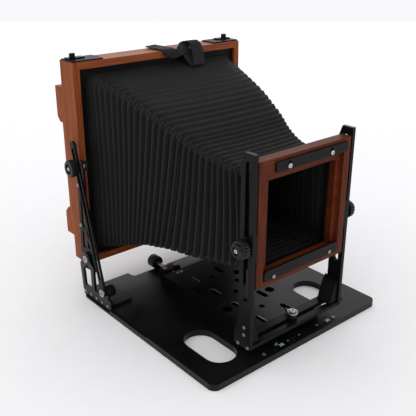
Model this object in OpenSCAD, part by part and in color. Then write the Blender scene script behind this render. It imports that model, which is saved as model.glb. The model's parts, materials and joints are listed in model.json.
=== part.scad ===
// Large-format folding view camera standing open on its flat base plate.
// Origin at the middle of the underside of the base. +Z up, the lens side faces -Y, +X is to the
// right seen from the lens side.

/* [Base] */
// Width of the base plate
base_w = 350; // [320:1:400]
// Length of the base plate
base_l = 336; // [320:1:380]
// Thickness of the base plate
base_t = 10; // [9:0.5:12]
// Width of the lightening slots in the base
slot_w = 50; // [36:1:54]

/* [Rear standard] */
// Height of the square rear wood frame
frame_h = 330; // [300:1:360]
// Depth of the rear wood frame
frame_d = 39; // [34:1:46]
// Height of the underside of the rear frame above the table
frame_z = 57; // [56:1:64]
// Width of the rear frame members
member = 11; // [10:0.5:14]

/* [Focusing bed] */
// Width of the focusing bed
bed_w = 116; // [110:1:122]
// Radius of the focusing screw
screw_r = 3; // [2.5:0.25:3.25]

/* [Front standard] */
// Side of the square lens board
board = 153; // [140:1:158]
// Height of the tops of the front arms above the table
arm_top = 312; // [305:1:340]
// Width of the front arms
arm_w = 25; // [24:1:30]
// Width of the slots in the front arms
arm_slot = 9; // [8:0.5:10]
// Depth of the lens frame
lens_d = 17; // [16:0.5:20]

/* [Hidden] */
$fn = 48;
bw = base_w / 2;
bl = base_l / 2;
fx = bw - 10;                   // half width of the rear frame
fy = 162 + (bl - 168);          // front face of the rear frame
fyr = fy + frame_d;             // rear face of the rear frame
fzt = frame_z + frame_h;        // top of the rear frame
arm_x = fx + 3;                 // outer face of the rear arms
br_x = arm_x + 4;               // outer face of the side brackets
st_x = br_x + 4;                // outer face of the struts
piv = [fy - 7, frame_z + 15];   // tilt pivot of the rear frame
bolt = [fy - 7, frame_z + 174]; // strut clamp bolt
foot = [fy - 60, base_t + 23];  // lower pivot of the struts
bedz = base_t + 15;             // top of the focusing bed
upz = bedz + 6;                 // top of the bottom plate of the front standard
fyf = -155;                     // front face of the front arms and the lens frame
lens_x = board / 2 + 13;        // half width of the lens frame
ax = lens_x + 2.5;              // inner faces of the front arms
ay = -143;                      // middle of the arm slots
lens_z0 = 119;                  // underside of the lens frame
seat_z = lens_z0 + 8;           // underside of the lens board
lens_z1 = seat_z + board + 21;  // top of the lens frame
rise_z = 182;                   // rise and tilt bolts of the lens frame
lock_y = -141;                  // middle of the shift slot
lock_x = 3;                     // clamp bolt of the front standard

// ---- helpers: flat shapes made of squares and circles ----
module stadium_y(w, l) {
  square([w, l - w], center = true);
  for (s = [-1, 1]) translate([0, s * (l - w) / 2]) circle(d = w);
}
module rrect(w, l, r) {
  square([w - 2 * r, l], center = true);
  square([w, l - 2 * r], center = true);
  for (i = [-1, 1], j = [-1, 1]) translate([i * (w / 2 - r), j * (l / 2 - r)]) circle(r = r);
}
module link(p, q, w) {
  d = [q[0] - p[0], q[1] - p[1]];
  translate(p) rotate(atan2(d[1], d[0])) translate([0, 0.05 - w / 2])
    square([norm(d), w - 0.1]);
  translate(p) circle(d = w);
  translate(q) circle(d = w);
}
// a flat shape drawn in Y and Z, with thickness from x0 to x1
module yz(x0, x1) translate([x0, 0, 0]) rotate([90, 0, 90]) linear_extrude(x1 - x0) children();
// a flat shape drawn in X and Z, with thickness from y0 to y1
module xz(y0, y1) translate([0, y1, 0]) rotate([90, 0, 0]) linear_extrude(y1 - y0) children();
module box(x0, x1, y0, y1, z0, z1) translate([x0, y0, z0]) cube([x1 - x0, y1 - y0, z1 - z0]);
module rod_x(x0, x1, y, z, r) translate([x0, y, z]) rotate([0, 90, 0]) cylinder(r = r, h = x1 - x0);
module rod_y(x, y0, y1, z, r) translate([x, y1, z]) rotate([90, 0, 0]) cylinder(r = r, h = y1 - y0);
module right() mirror([1, 0, 0]) children();

// ---- base ----
module base_plate() color([0.06, 0.06, 0.065]) difference() {
  linear_extrude(base_t) difference() {
    rrect(base_w, base_l, 12);
    for (s = [-1, 1]) translate([s * (bw - 58), -92]) stadium_y(slot_w, 92);
    // finger notch in the rear edge
    translate([0, bl + 5]) rrect(168, 42, 8);
  }
  // rabbets for the side brackets and the shallow steps ahead of them
  for (s = [-1, 1]) {
    translate([s * (bw + 3 - 5), 0, 3]) translate([-5, bl - 82, 0]) cube([10, 90, base_t]);
    translate([s * (bw + 5 - 6) - 5, -14, base_t - 2]) cube([10, bl - 68, 4]);
  }
  // recess for the scale bar
  box(-78.3, 84.3, -bl + 4.7, -bl + 15.3, base_t - 2, base_t + 1);
  // recess for the tripod plate
  translate([0, 0, -1]) cylinder(r = 30.1, h = 4);
  translate([0, 0, -1]) cylinder(r = 12.3, h = base_t + 2);
}
module tripod_plate() color([0.55, 0.55, 0.57]) difference() {
  union() {
    cylinder(r = 30, h = 3);
    cylinder(r = 12, h = base_t);
  }
  translate([0, 0, -1]) cylinder(r = 4.2, h = base_t + 2);
}
module rail() color([0.1, 0.1, 0.11]) box(-bed_w / 2 + 6.1, -bed_w / 2 + 13, -138, 96, base_t, base_t + 6);
module rails() {
  rail();
  right() rail();
}

module bracket() color([0.09, 0.09, 0.095]) difference() {
  union() {
  yz(-br_x, -arm_x) difference() {
    union() {
      translate([bl - 82, 3]) square([82, 19]);
      link([fy + 4, 14], [fy + 8, frame_z - 2], 9);
      link([fy - 24, 14], [fy - 24, frame_z + 4], 9);
      link([fy + 6, frame_z], [piv[0], piv[1]], 13);
      link([fy - 24, frame_z + 2], [piv[0], piv[1]], 11);
      link([foot[0], foot[1] - 8], foot, 18);
      translate(piv) circle(r = 11);
    }
    translate(piv) circle(r = 4.05);
    translate(foot) circle(r = 4.05);
  }
  difference() {
    translate([0, 0, base_t]) linear_extrude(3)
      translate([-arm_x + 21, bl - 43]) rrect(42, 72, 8);
    box(-bw, -arm_x, 0, bl, 0, 20);
  }
  }
  for (i = [0:4]) rod_x(-br_x - 1, -arm_x - 1, bl - 73 + i * 16.6, base_t + 0.5, 1.6);
}
module bracket_left() bracket();
module bracket_right() right() bracket();
module bracket_screws() color([0.7, 0.7, 0.7]) for (s = [0, 1]) mirror([s, 0, 0])
  for (i = [0:4]) {
    rod_x(-br_x, -arm_x - 1, bl - 73 + i * 16.6, base_t + 0.5, 1.6);
    rod_x(-br_x - 1.2, -br_x, bl - 73 + i * 16.6, base_t + 0.5, 3);
  }
module strut_pivots() color([0.75, 0.75, 0.75]) for (s = [0, 1]) mirror([s, 0, 0]) {
  rod_x(-st_x - 0.1, -arm_x, foot[0], foot[1], 4);
  rod_x(-st_x - 3, -st_x - 0.1, foot[0], foot[1], 6.5);
}
module tilt_pivots() color([0.75, 0.75, 0.75]) for (s = [0, 1]) mirror([s, 0, 0]) {
  rod_x(-br_x, -fx, piv[0], piv[1], 4);
  rod_x(-br_x - 2.5, -br_x, piv[0], piv[1], 6.5);
}
module pivot_knob() color([0.08, 0.08, 0.085]) difference() {
  rod_x(-arm_x, -arm_x + 12, foot[0], foot[1], 9.5);
  for (a = [0:30:330]) translate([-arm_x + 3, foot[0], foot[1]]) rotate([a, 0, 0])
    translate([0, 9.7, 0]) rotate([0, 90, 0]) cylinder(r = 1, h = 20, $fn = 16);
}
module pivot_knob_left() pivot_knob();
module pivot_knob_right() right() pivot_knob();

module scale_bar() color([0.12, 0.12, 0.13]) difference() {
  box(-78, 84, -bl + 5, -bl + 15, base_t - 2, base_t);
  for (x = [-72, 79]) translate([x, -bl + 10, base_t - 3]) cylinder(r = 2, h = 6);
}
module scale_screws() color([0.75, 0.75, 0.75]) for (x = [-72, 79]) {
  translate([x, -bl + 10, base_t - 2]) cylinder(r = 2, h = 2);
  translate([x, -bl + 10, base_t]) cylinder(r = 3.4, h = 1.2);
}
module level_case() color([0.12, 0.12, 0.13]) difference() {
  box(-bed_w / 2 + 6.2, -bed_w / 2 + 17, -bl + 11, -bl + 22, base_t, base_t + 8);
  rod_y(-bed_w / 2 + 11.6, -bl + 8, -bl + 20, base_t + 4.6, 2.5);
}
module level_vial() color([0.55, 0.85, 0.5]) 
  rod_y(-bed_w / 2 + 11.6, -bl + 10.4, -bl + 20, base_t + 4.6, 2.5);
module screw_bearing() color([0.1, 0.1, 0.11]) difference() {
  box(-46, -14, fy - 54, fy - 36, base_t, base_t + 15);
  rod_y(-30, fy - 70, fy - 20, base_t + 8, screw_r + 0.06);
  for (x = [-41, -19]) translate([x, fy - 45, 0]) cylinder(r = 2, h = 60);
}
module bearing_screws() color([0.75, 0.75, 0.75]) for (x = [-41, -19]) {
  translate([x, fy - 45, base_t]) cylinder(r = 2, h = 15);
  translate([x, fy - 45, base_t + 15]) cylinder(r = 3.6, h = 1.8);
}

module base_screws() {
  bracket_screws();
  scale_screws();
  bearing_screws();
}

// ---- focusing bed ----
module bed_plate() color([0.08, 0.08, 0.085]) difference() {
  union() {
    translate([0, -25, bedz - 3.5]) linear_extrude(3.5) rrect(bed_w, 250, 4);
    for (s = [0, 1]) mirror([s, 0, 0])
      box(-bed_w / 2, -bed_w / 2 + 6, -146, 96, base_t + 0.05, bedz - 3.5);
  }
  for (s = [-1, 1], y = [53, 0, -53, -106]) translate([s * 27, y, bedz - 5])
    linear_extrude(8) stadium_y(9, 24);
  for (x = [-46, 46], y = [26, -51]) translate([x, y, bedz - 5]) cylinder(r = 8, h = 8);
  for (y = [40, -20, -80]) translate([0, y, bedz - 5]) cylinder(r = 5, h = 8);
  translate([lock_x, lock_y, 0]) cylinder(r = 3.56, h = 60);
  for (x = [-34, -26]) translate([x, 90, bedz - 5]) cylinder(r = 1.5, h = 8);
}
module drive_nut() color([0.7, 0.58, 0.3]) difference() {
  box(-37, -23, 83, 97, base_t + 2, bedz - 3.5);
  rod_y(-30, 70, 110, base_t + 8, screw_r + 0.06);
}
module bed_screws() color([0.75, 0.75, 0.75]) for (x = [-34, -26]) {
  translate([x, 90, bedz - 3.5]) cylinder(r = 1.5, h = 3.5);
  translate([x, 90, bedz]) cylinder(r = 2.8, h = 1.2);
}
module focus_screw() color([0.7, 0.7, 0.72]) {
  rod_y(-30, -12, fy - 9, base_t + 8, screw_r);
  rod_y(-30, fy - 36, fy - 30, base_t + 8, 5.5);
}
module focus_knob() color([0.08, 0.08, 0.085]) difference() {
  rod_y(-30, fy - 9, fy + 8, base_t + 8, 11.5);
  for (a = [0:20:340]) translate([-30, fy - 6, base_t + 8]) rotate([0, a, 0])
    translate([11.9, 0, 0]) rotate([-90, 0, 0]) cylinder(r = 1.1, h = 30, $fn = 16);
}

// ---- front standard ----
module clamp_bolt() color([0.72, 0.72, 0.74]) {
  translate([lock_x, lock_y, bedz - 7]) cylinder(r = 7, h = 3.4);
  translate([lock_x, lock_y, bedz - 3.6]) cylinder(r = 3.5, h = upz + 13 - bedz + 3.6);
}
module lock_knob() color([0.09, 0.09, 0.095]) difference() {
  union() {
    translate([lock_x, lock_y, upz + 0.1]) cylinder(r = 7.4, h = 9);
    // short lever on the side of the knob
    translate([lock_x, lock_y, upz + 2]) rotate(70) translate([5, -2.5, 0]) cube([17, 5, 4]);
  }
  translate([lock_x, lock_y, upz - 1]) cylinder(r = 3.56, h = 30);
}
module lock_ring() color([0.8, 0.8, 0.82]) difference() {
  translate([lock_x, lock_y, upz + 9.1]) cylinder(r = 8.6, h = 3);
  translate([lock_x, lock_y, upz]) cylinder(r = 3.56, h = 30);
}
module front_bottom_plate() color([0.09, 0.09, 0.095]) difference() {
  translate([0, (fyf - 122) / 2, bedz]) linear_extrude(upz - bedz)
    square([2 * ax, -122 - fyf], center = true);
  translate([0, lock_y, bedz - 1]) linear_extrude(10) rotate(90) stadium_y(7.3, 168);
}
module front_arm() color([0.09, 0.09, 0.095]) yz(-ax - 6, -ax) difference() {
  union() {
    translate([fyf, bedz]) square([arm_w, arm_top - 16 - bedz]);
    translate([fyf, bedz]) square([arm_w + 7, 20]);
    polygon([[fyf, arm_top - 16], [fyf, arm_top], [fyf + arm_w - 6, arm_top],
      [fyf + arm_w, arm_top - 16]]);
    polygon([[fyf + arm_w, bedz + 20], [fyf + arm_w + 7, bedz + 20], [fyf + arm_w, bedz + 40]]);
  }
  translate([ay, (100 + arm_top - 11) / 2]) stadium_y(arm_slot, arm_top - 111);
  for (p = front_screw_at()) translate(p) circle(r = 2);
}
function front_screw_at() = [[-151, bedz + 3], [-132, bedz + 3], [-143, bedz + 21], [-143, bedz + 33]];
module front_arm_left() front_arm();
module front_arm_right() right() front_arm();
module gusset() color([0.09, 0.09, 0.095]) xz(-152, -126)
  polygon([[-ax, upz], [-ax + 16, upz], [-ax + 12, upz + 14], [-ax + 5, upz + 34], [-ax, upz + 40]]);
module gussets() {
  gusset();
  right() gusset();
}
module front_screws() color([0.75, 0.75, 0.75]) for (s = [0, 1]) mirror([s, 0, 0])
  for (p = front_screw_at()) {
    rod_x(-ax - 6, -ax, p[0], p[1], 2);
    rod_x(-ax - 7.2, -ax - 6, p[0], p[1], 3.3);
  }
module rise_slide() color([0.1, 0.1, 0.11]) difference() {
  union() {
    yz(-ax + 0.05, -lens_x - 0.05) translate([ay - 1, rise_z]) rrect(22, 46, 5);
    yz(-ax - 5.9, -ax + 0.05) translate([ay, rise_z]) rrect(arm_slot - 0.2, 30, 1);
  }
  rod_x(-ax - 10, -lens_x + 10, ay, rise_z, 3.05);
}
module rise_slides() {
  rise_slide();
  right() rise_slide();
}
module rise_bolt() color([0.75, 0.75, 0.75]) {
  rod_x(-ax - 8, -lens_x + 6, ay, rise_z, 3);
}
module rise_bolts() {
  rise_bolt();
  right() rise_bolt();
}
module rise_knob() color([0.08, 0.08, 0.085]) difference() {
  union() {
    rod_x(-ax - 11, -ax - 6.1, ay, rise_z, 9);
    rod_x(-ax - 25, -ax - 11, ay, rise_z, 14);
  }
  rod_x(-ax - 8.05, -ax, ay, rise_z, 3.06);
  for (a = [0:20:340]) translate([-ax - 27, ay, rise_z]) rotate([a, 0, 0])
    translate([0, 14.5, 0]) rotate([0, 90, 0]) cylinder(r = 1.3, h = 14, $fn = 16);
}
module rise_knob_left() rise_knob();
module rise_knob_right() right() rise_knob();

// ---- lens frame ----
module lens_frame() color([0.42, 0.19, 0.12]) difference() {
  box(-lens_x, lens_x, fyf, fyf + lens_d, lens_z0, lens_z1);
  box(-board / 2, board / 2, fyf - 1, fyf + 6, seat_z, seat_z + board);
  box(-board / 2 + 9.5, board / 2 - 9.5, fyf - 1, fyf + lens_d + 1, seat_z + 11, seat_z + board - 10);
  for (s = [0, 1]) mirror([s, 0, 0]) rod_x(-lens_x - 1, -lens_x + 6.05, ay, rise_z, 3.05);
}
module board_rest() color([0.1, 0.1, 0.105]) difference() {
  union() {
    xz(fyf - 2, fyf + 2) translate([0, seat_z + 8]) rrect(board - 1, 15.6, 6);
    box(12.5 - board / 2, board / 2 - 12.5, fyf + 2, fyf + 6, seat_z + 0.2, seat_z + 7);
  }
  for (s = [-1, 1]) rod_y(s * (board / 2 - 18.5), fyf - 3, fyf + 8, seat_z + 3.6, 1.8);
}
module board_rest_screws() color([0.75, 0.75, 0.75]) for (s = [-1, 1]) {
  rod_y(s * (board / 2 - 18.5), fyf - 2, fyf + 6, seat_z + 3.6, 1.8);
  rod_y(s * (board / 2 - 18.5), fyf - 3.2, fyf - 2, seat_z + 3.6, 3.3);
}
module board_lock() color([0.1, 0.1, 0.105]) xz(fyf - 3, fyf) difference() {
  translate([9, seat_z + board + 9]) rrect(142, 14, 1.5);
  for (x = [-38, 46]) translate([x, seat_z + board + 9]) stadium_y(4.8, 9.8);
}
module board_lock_screws() color([0.75, 0.75, 0.75]) for (x = [-38, 46]) {
  rod_y(x, fyf - 3.05, fyf, seat_z + board + 6.7, 2.2);
  rod_y(x, fyf - 4.6, fyf - 3.05, seat_z + board + 6.7, 4.2);
}
bf = board / 2 - 3;             // half size of the front bellows frame
bfz = seat_z + board / 2;       // its middle height
module front_bellows_frame() color([0.07, 0.07, 0.075]) difference() {
  box(-bf, bf, fyf + lens_d, fyf + lens_d + 4, bfz - bf, bfz + bf);
  box(-bf + 9, bf - 9, fyf, fyf + lens_d + 9, bfz - bf + 9, bfz + bf - 9);
}

// ---- bellows: a plain tapered tube ----
brx = fx - member - 11;         // half width of the bellows at the rear
brz0 = frame_z + member + 11;
brz1 = fzt - member - 11;
module frustum(i, y0, y1) polyhedron(
  points = [[-bf + i, y0, bfz - bf + i], [bf - i, y0, bfz - bf + i], [bf - i, y0, bfz + bf - i],
    [-bf + i, y0, bfz + bf - i], [-brx + i, y1, brz0 + i], [brx - i, y1, brz0 + i],
    [brx - i, y1, brz1 - i], [-brx + i, y1, brz1 - i]],
  faces = [[3, 2, 1, 0], [4, 5, 6, 7], [0, 1, 5, 4], [1, 2, 6, 5], [2, 3, 7, 6], [3, 0, 4, 7]]);
bel_y0 = fyf + lens_d + 4.3;
bel_y1 = fy + 5.7;
module bellows() color([0.13, 0.13, 0.14]) difference() {
  frustum(0, bel_y0, bel_y1);
  frustum(6, bel_y0 - 2, bel_y1 + 2);
}

// ---- rear standard ----
module rear_frame() color([0.58, 0.33, 0.17]) difference() {
  box(-fx, fx, fy, fyr, frame_z, fzt);
  box(-fx + member, fx - member, fy - 1, fyr + 1, frame_z + member, fzt - member);
}
module rear_bellows_frame() color([0.07, 0.07, 0.075]) difference() {
  box(-fx + member, fx - member, fy + 6, fy + 10, frame_z + member, fzt - member);
  box(-brx + 6, brx - 6, fy, fy + 20, brz0 + 6, brz1 - 6);
}
module rear_arm() color([0.09, 0.09, 0.095]) yz(-arm_x, -fx) difference() {
  union() {
    // lower block, two upright rails, a slanted rail and the upper lug
    polygon([[fy - 30, frame_z - 2], [fy + 13, frame_z - 8], [fy + 13, frame_z + 30],
      [fy - 30, frame_z + 38]]);
    link([fy + 9, frame_z + 20], [fy + 5, frame_z + 148], 7);
    link([fy - 7, frame_z + 30], [fy - 9, frame_z + 140], 6);
    link([fy + 7, frame_z + 72], [fy - 26, frame_z + 34], 6);
    link([fy + 5, frame_z + 148], bolt, 9);
    link([fy - 9, frame_z + 138], bolt, 9);
    link(bolt, [fy - 24, frame_z + 180], 12);
    link([fy + 6, frame_z + 136], [fy - 9, frame_z + 128], 7);
    translate(bolt) circle(r = 9);
  }
  translate(piv) circle(r = 4.05);
  translate(bolt) circle(r = 3.02);
  for (p = rear_screw_at()) translate(p) circle(r = 2);
}
function rear_screw_at() = [[fy + 5.4, frame_z + 139], [fy + 7, frame_z + 70], [fy + 9, frame_z + 17]];
module rear_arm_left() rear_arm();
module rear_arm_right() right() rear_arm();
module rear_arm_screws() color([0.75, 0.75, 0.75]) for (s = [0, 1]) mirror([s, 0, 0])
  for (p = rear_screw_at()) {
    rod_x(-arm_x, -fx, p[0], p[1], 2);
    if (p[1] > frame_z + 40) rod_x(-arm_x - 1, -arm_x, p[0], p[1], 3);
  }
module clamp_stud() color([0.75, 0.75, 0.75]) rod_x(-st_x - 9, -fx, bolt[0], bolt[1], 3);
module clamp_studs() {
  clamp_stud();
  right() clamp_stud();
}
module detent_disc() color([0.3, 0.3, 0.31]) {
  rod_x(-arm_x - 4, -arm_x, fy - 24, frame_z + 180, 7.5);
  rod_x(-arm_x - 5.2, -arm_x - 4, fy - 24, frame_z + 180, 3);
}
module detent_discs() {
  detent_disc();
  right() detent_disc();
}

str_d = [bolt[0] - foot[0], bolt[1] - foot[1]];
str_u = str_d / norm(str_d);
module strut() color([0.1, 0.1, 0.105]) yz(-st_x, -br_x) difference() {
  link(foot, foot + str_u * (norm(str_d) + 34), 13);
  link(foot + str_u * 26, foot + str_u * (norm(str_d) + 26), 7.6);
  translate(foot) circle(r = 4.05);
}
module strut_left() strut();
module strut_right() right() strut();
module clamp_knob() color([0.08, 0.08, 0.085]) difference() {
  union() {
    rod_x(-st_x - 3, -st_x - 0.1, bolt[0], bolt[1], 8);
    rod_x(-st_x - 14, -st_x - 3, bolt[0], bolt[1], 13.5);
  }
  rod_x(-st_x - 9.05, -st_x, bolt[0], bolt[1], 3.06);
  for (a = [0:20:340]) translate([-st_x - 16, bolt[0], bolt[1]]) rotate([a, 0, 0])
    translate([0, 14, 0]) rotate([0, 90, 0]) cylinder(r = 1.3, h = 11, $fn = 16);
}
module clamp_knob_left() clamp_knob();
module clamp_knob_right() right() clamp_knob();

// ---- back ----
bkz0 = frame_z + 22;
bkz1 = fzt - 20;
module back_frame() color([0.55, 0.3, 0.17]) difference() {
  box(-fx + 3, fx - 3, fyr, fyr + 6, bkz0, bkz1);
  box(-128, 128, fyr - 1, fyr + 7, gz - 103, gz + 103);
}
gz = frame_z + 161;             // middle height of the ground glass
module glass_frame() color([0.52, 0.27, 0.15]) difference() {
  union() {
    box(-fx + 4, fx - 4, fyr + 6, fyr + 14, gz - 125, gz + 125);
    for (s = [0, 1]) mirror([s, 0, 0]) {
      yz(-fx + 4, -fx + 34) polygon([[fyr + 14, gz + 125], [fyr + 29, gz + 125],
        [fyr + 29, gz + 76], [fyr + 22, gz + 68], [fyr + 14, gz + 68]]);
      yz(-fx + 4, -fx + 34) polygon([[fyr + 14, gz - 125], [fyr + 29, gz - 125],
        [fyr + 29, gz - 88], [fyr + 20, gz - 78], [fyr + 14, gz - 78]]);
    }
  }
  box(-118, 118, fyr, fyr + 15, gz - 93, gz + 93);
  box(-127.5, 127.5, fyr + 5, fyr + 11, gz - 102, gz + 102);
}
module ground_glass() color([0.85, 0.88, 0.88, 0.5])
  box(-127, 127, fyr + 7.9, fyr + 10.9, gz - 101.5, gz + 101.5);
module glass_clips() color([0.75, 0.75, 0.75]) for (i = [-1, 1], j = [-1, 1])
  box(i * 100 - 6, i * 100 + 6, fyr + 6.1, fyr + 7.8, gz + j * 97.5 - 4, gz + j * 97.5 + 4);
module back_springs() color([0.7, 0.7, 0.72]) for (s = [-1, 1])
  difference() {
    box(s * 124.4 - 6, s * 124.4 + 6, fyr + 14, fyr + 15, gz - 70, gz + 70);
    for (z = [-60, 60]) rod_y(s * 124.4, fyr + 13, fyr + 17, gz + z, 2.02);
  }
module spring_screws() color([0.75, 0.75, 0.75]) for (s = [-1, 1], z = [-60, 60]) {
  rod_y(s * 124.4, fyr + 14, fyr + 15, gz + z, 2);
  rod_y(s * 124.4, fyr + 15, fyr + 16.5, gz + z, 3.6);
}
module latch_plate() color([0.09, 0.09, 0.095]) difference() {
  box(-fx + 1, -fx + 54, fy + 3, fyr - 3, fzt, fzt + 2);
  translate([-fx + 20, fyr - 14, fzt - 1]) linear_extrude(4) rotate(90) stadium_y(5.2, 24);
}
module latch_plates() {
  latch_plate();
  right() latch_plate();
}
module latch() color([0.12, 0.12, 0.125]) {
  box(-fx + 4, -fx + 32, fyr - 20, fyr - 8, fzt + 2, fzt + 4);
  translate([-fx + 14, fyr - 14, fzt + 4]) cylinder(r = 4.6, h = 6);
  translate([-fx + 14, fyr - 14, fzt + 0.1]) cylinder(r = 2.5, h = 1.9);
}
module latch_left() latch();
module latch_right() right() latch();
module strap() color([0.1, 0.1, 0.105]) xz(fy + 6, fy + 31) difference() {
  polygon([[-8, fzt + 2], [8, fzt + 2], [24, fzt + 7], [44, fzt + 10], [66, fzt + 7], [82, fzt + 2],
    [98, fzt + 2], [98, fzt + 4.2], [84, fzt + 4.4], [68, fzt + 9.6], [44, fzt + 12.6],
    [22, fzt + 9.6], [6, fzt + 4.4], [-8, fzt + 4.2]]);
}
module strap_anchors() color([0.09, 0.09, 0.095]) for (x = [-8, 82])
  box(x, x + 16, fy + 5, fy + 32, fzt, fzt + 1.9);

base_plate();
tripod_plate();
rails();
bracket_left();
bracket_right();
base_screws();
scale_bar();
level_case();
level_vial();
screw_bearing();
strut_pivots();
pivot_knob_left();
pivot_knob_right();
tilt_pivots();
bed_plate();
drive_nut();
bed_screws();
focus_screw();
focus_knob();
clamp_bolt();
lock_knob();
lock_ring();
front_bottom_plate();
front_arm_left();
front_arm_right();
gussets();
front_screws();
rise_slides();
rise_bolts();
rise_knob_left();
rise_knob_right();
lens_frame();
board_rest();
board_rest_screws();
board_lock();
board_lock_screws();
front_bellows_frame();
bellows();
rear_frame();
rear_bellows_frame();
rear_arm_left();
rear_arm_right();
rear_arm_screws();
clamp_studs();
detent_discs();
strut_left();
strut_right();
clamp_knob_left();
clamp_knob_right();
back_frame();
glass_frame();
ground_glass();
glass_clips();
back_springs();
spring_screws();
latch_plates();
latch_left();
latch_right();
strap();
strap_anchors();
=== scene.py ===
import json
import math
import bmesh
import bpy
from mathutils import Matrix, Vector

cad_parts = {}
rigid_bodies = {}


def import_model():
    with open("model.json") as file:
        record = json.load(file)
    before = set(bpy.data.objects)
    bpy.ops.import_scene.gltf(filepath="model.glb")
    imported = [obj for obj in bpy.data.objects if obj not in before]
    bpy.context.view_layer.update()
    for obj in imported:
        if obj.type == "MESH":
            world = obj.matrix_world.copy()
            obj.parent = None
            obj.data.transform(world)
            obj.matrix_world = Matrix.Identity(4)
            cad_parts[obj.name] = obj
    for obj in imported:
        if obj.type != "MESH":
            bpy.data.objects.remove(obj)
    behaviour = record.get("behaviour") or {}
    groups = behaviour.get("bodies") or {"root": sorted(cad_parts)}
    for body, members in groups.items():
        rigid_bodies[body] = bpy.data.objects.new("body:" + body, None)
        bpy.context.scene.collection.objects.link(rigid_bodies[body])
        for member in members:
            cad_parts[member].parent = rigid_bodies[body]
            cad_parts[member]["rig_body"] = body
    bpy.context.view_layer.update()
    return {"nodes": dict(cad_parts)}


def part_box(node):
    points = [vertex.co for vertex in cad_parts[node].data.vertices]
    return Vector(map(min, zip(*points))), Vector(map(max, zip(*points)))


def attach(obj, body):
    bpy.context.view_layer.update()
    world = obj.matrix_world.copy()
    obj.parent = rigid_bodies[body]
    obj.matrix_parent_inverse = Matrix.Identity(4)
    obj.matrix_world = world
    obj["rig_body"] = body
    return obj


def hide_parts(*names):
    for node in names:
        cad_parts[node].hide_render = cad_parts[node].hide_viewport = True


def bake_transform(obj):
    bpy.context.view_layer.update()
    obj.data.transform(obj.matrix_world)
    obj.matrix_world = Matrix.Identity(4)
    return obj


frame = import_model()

# Lengths are in mm unless a name says otherwise. X is the width, the lens looks along -Y, Z is up.
MM = 0.001
PI = math.pi
UP = (0, 0, 1)
SIDES = (-1, 1)
NAMED_SIDES = ((-1, "left"), (1, "right"))


def nbox(node):
    """lowest and highest corner of a CAD node"""
    lo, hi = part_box(node)
    return [c / MM for c in lo], [c / MM for c in hi]


def middle(node):
    lo, hi = nbox(node)
    return [(a + b) / 2 for a, b in zip(lo, hi)]


# ---------------------------------------------------------------- materials
def grey(v):
    return (v, v, v)


class Mat:
    """a material being built: node helpers around one Principled shader"""

    def __init__(self, name):
        self.made = bpy.data.materials.new(name)
        self.made.use_nodes = True
        self.tree = self.made.node_tree
        self.shader = self.tree.nodes["Principled BSDF"]
        self.coords = self.tree.nodes.new("ShaderNodeTexCoord").outputs

    def node(self, kind, **props):
        made = self.tree.nodes.new(kind)
        for name, value in props.items():
            setattr(made, name, value)
        return made

    def wire(self, source, socket):
        self.tree.links.new(source, socket)

    def linked(self, **sources):
        for name, source in sources.items():
            self.wire(source, self.shader.inputs[name.replace("_", " ")])

    def const(self, **values):
        for name, value in values.items():
            self.shader.inputs[name.replace("_", " ")].default_value = value

    def mapped(self, scale, rotation=(0, 0, 0), source=None):
        m = self.node("ShaderNodeMapping")
        m.inputs["Scale"].default_value = scale
        m.inputs["Rotation"].default_value = rotation
        self.wire(source or self.coords["Object"], m.inputs["Vector"])
        return m.outputs["Vector"]

    def noise(self, scale, detail, roughness=0.5, distortion=0.0):
        """noise with scale cells per metre, one number or one for each axis"""
        n = self.node("ShaderNodeTexNoise")
        n.inputs["Scale"].default_value = 1.0
        n.inputs["Detail"].default_value = detail
        n.inputs["Roughness"].default_value = roughness
        n.inputs["Distortion"].default_value = distortion
        self.wire(self.mapped(scale if isinstance(scale, tuple) else grey(scale)), n.inputs["Vector"])
        return n.outputs["Fac"]

    def waves(self, direction, scale, source, distortion=0.0, detail=2.0):
        w = self.node("ShaderNodeTexWave", wave_type="BANDS", bands_direction=direction)
        w.inputs["Scale"].default_value = scale
        w.inputs["Distortion"].default_value = distortion
        w.inputs["Detail"].default_value = detail
        self.wire(source, w.inputs["Vector"])
        return w.outputs["Fac"]

    def ramp(self, fac, *stops):
        r = self.node("ShaderNodeValToRGB")
        elements = r.color_ramp.elements
        while len(elements) < len(stops):
            elements.new(0.5)
        for element, (position, colour) in zip(elements, stops):
            element.position = position
            element.color = (*colour, 1)
        self.wire(fac, r.inputs["Fac"])
        return r.outputs["Color"]

    def spread(self, fac, lo, hi, start=0.0, end=1.0):
        r = self.node("ShaderNodeMapRange")
        for name, value in (("From Min", start), ("From Max", end), ("To Min", lo), ("To Max", hi)):
            r.inputs[name].default_value = value
        self.wire(fac, r.inputs["Value"])
        return r.outputs["Result"]

    def mix(self, a, b, fac, mode="MIX"):
        m = self.node("ShaderNodeMix", data_type="RGBA", blend_type=mode)
        factor, colour_a, colour_b = m.inputs[0], m.inputs[6], m.inputs[7]
        if isinstance(fac, float):
            factor.default_value = fac
        else:
            self.wire(fac, factor)
        for socket, value in ((colour_a, a), (colour_b, b)):
            if isinstance(value, tuple):
                socket.default_value = (*value, 1)
            else:
                self.wire(value, socket)
        return m.outputs[2]

    def math(self, operation, a, b):
        m = self.node("ShaderNodeMath", operation=operation)
        for socket, value in zip(m.inputs, (a, b)):
            if isinstance(value, (int, float)):
                socket.default_value = value
            else:
                self.wire(value, socket)
        return m.outputs[0]

    def blend_of(self, a, weight_a, b, weight_b):
        return self.math("ADD", self.math("MULTIPLY", a, weight_a), self.math("MULTIPLY", b, weight_b))

    def bump(self, height, strength, distance):
        b = self.node("ShaderNodeBump")
        b.inputs["Strength"].default_value = strength
        b.inputs["Distance"].default_value = distance
        self.wire(height, b.inputs["Height"])
        self.linked(Normal=b.outputs["Normal"])


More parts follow.
